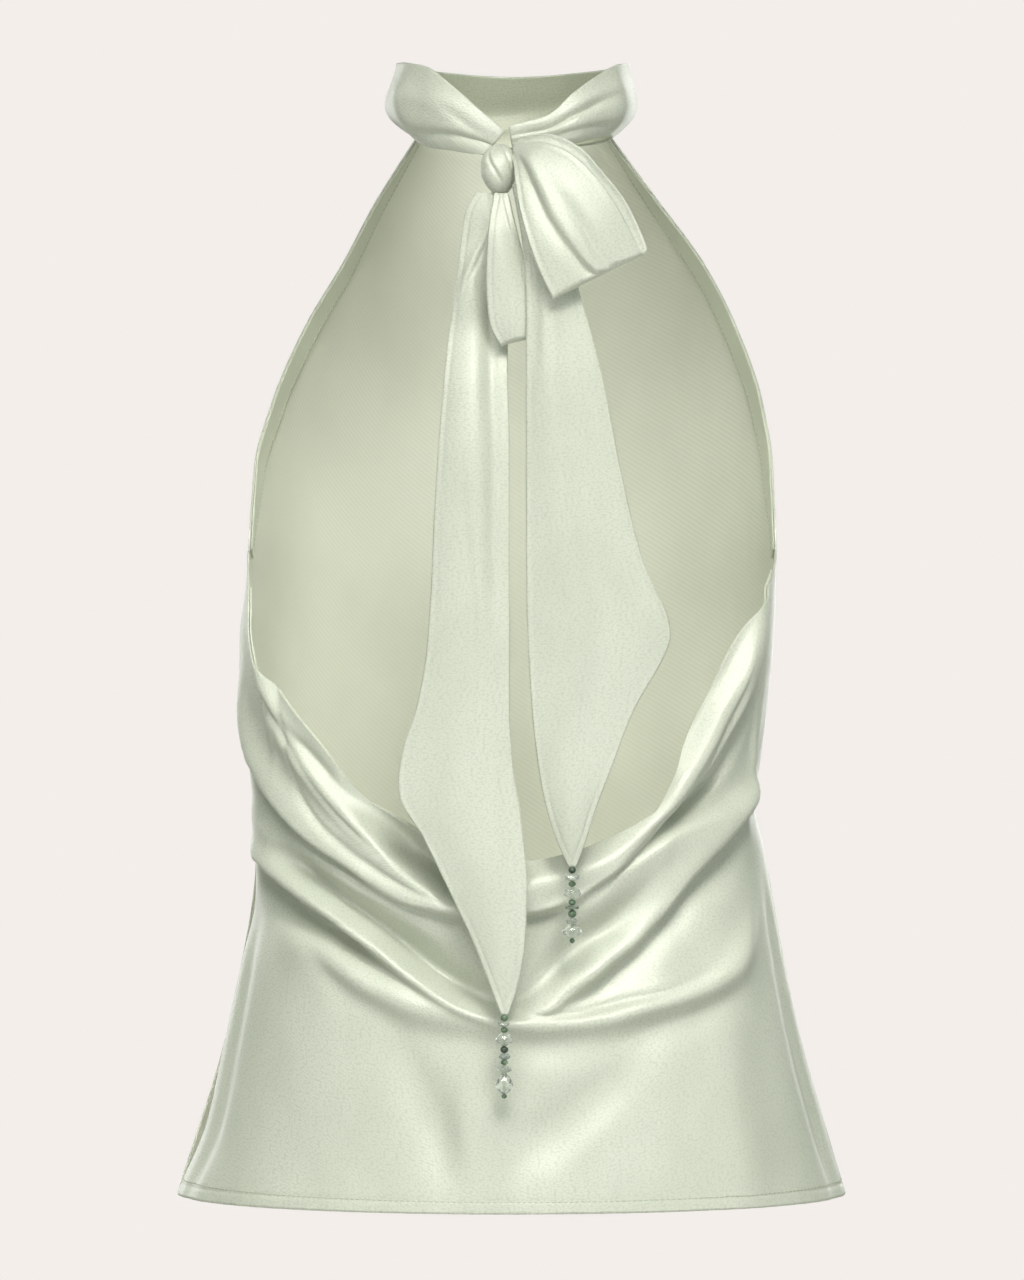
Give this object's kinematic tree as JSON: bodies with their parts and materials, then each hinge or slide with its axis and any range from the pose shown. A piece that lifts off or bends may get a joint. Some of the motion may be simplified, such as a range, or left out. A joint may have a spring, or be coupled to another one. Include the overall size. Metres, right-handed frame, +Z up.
{
  "type": "backless halter neck top with a tied bow",
  "caption": "Backless satin halter neck top in its worn hollow form, with a tie collar bowed at the back and a cowl-draped low back.",
  "frame": {"origin": "centre of the neck opening at the height of the neck seam, where the wearer's neck holds the top up", "axes": "+Z up, +Y towards the wearer's back, +X towards the wearer's left"},
  "size_m": [0.3532, 0.2617, 0.5964],
  "materials": {
    "satin": "hammered satin, pale sage green, soft sheen",
    "satin_facing": "hammered satin turned inside, sage green",
    "crystal": "faceted clear, green and grey beads on a thread"
  },
  "bodies": {
    "root": {"front_panel": "satin", "back_panel": "satin", "armhole_facing_left": "satin_facing", "armhole_facing_right": "satin_facing", "cowl_facing": "satin_facing", "neck_tie": "satin", "bow_knot": "satin", "bow_loop": "satin", "bow_loop_middle": "satin", "tail_left": "satin", "tail_right": "satin", "bead_drop_left": "crystal", "bead_drop_right": "crystal"}
  },
  "joints": []
}
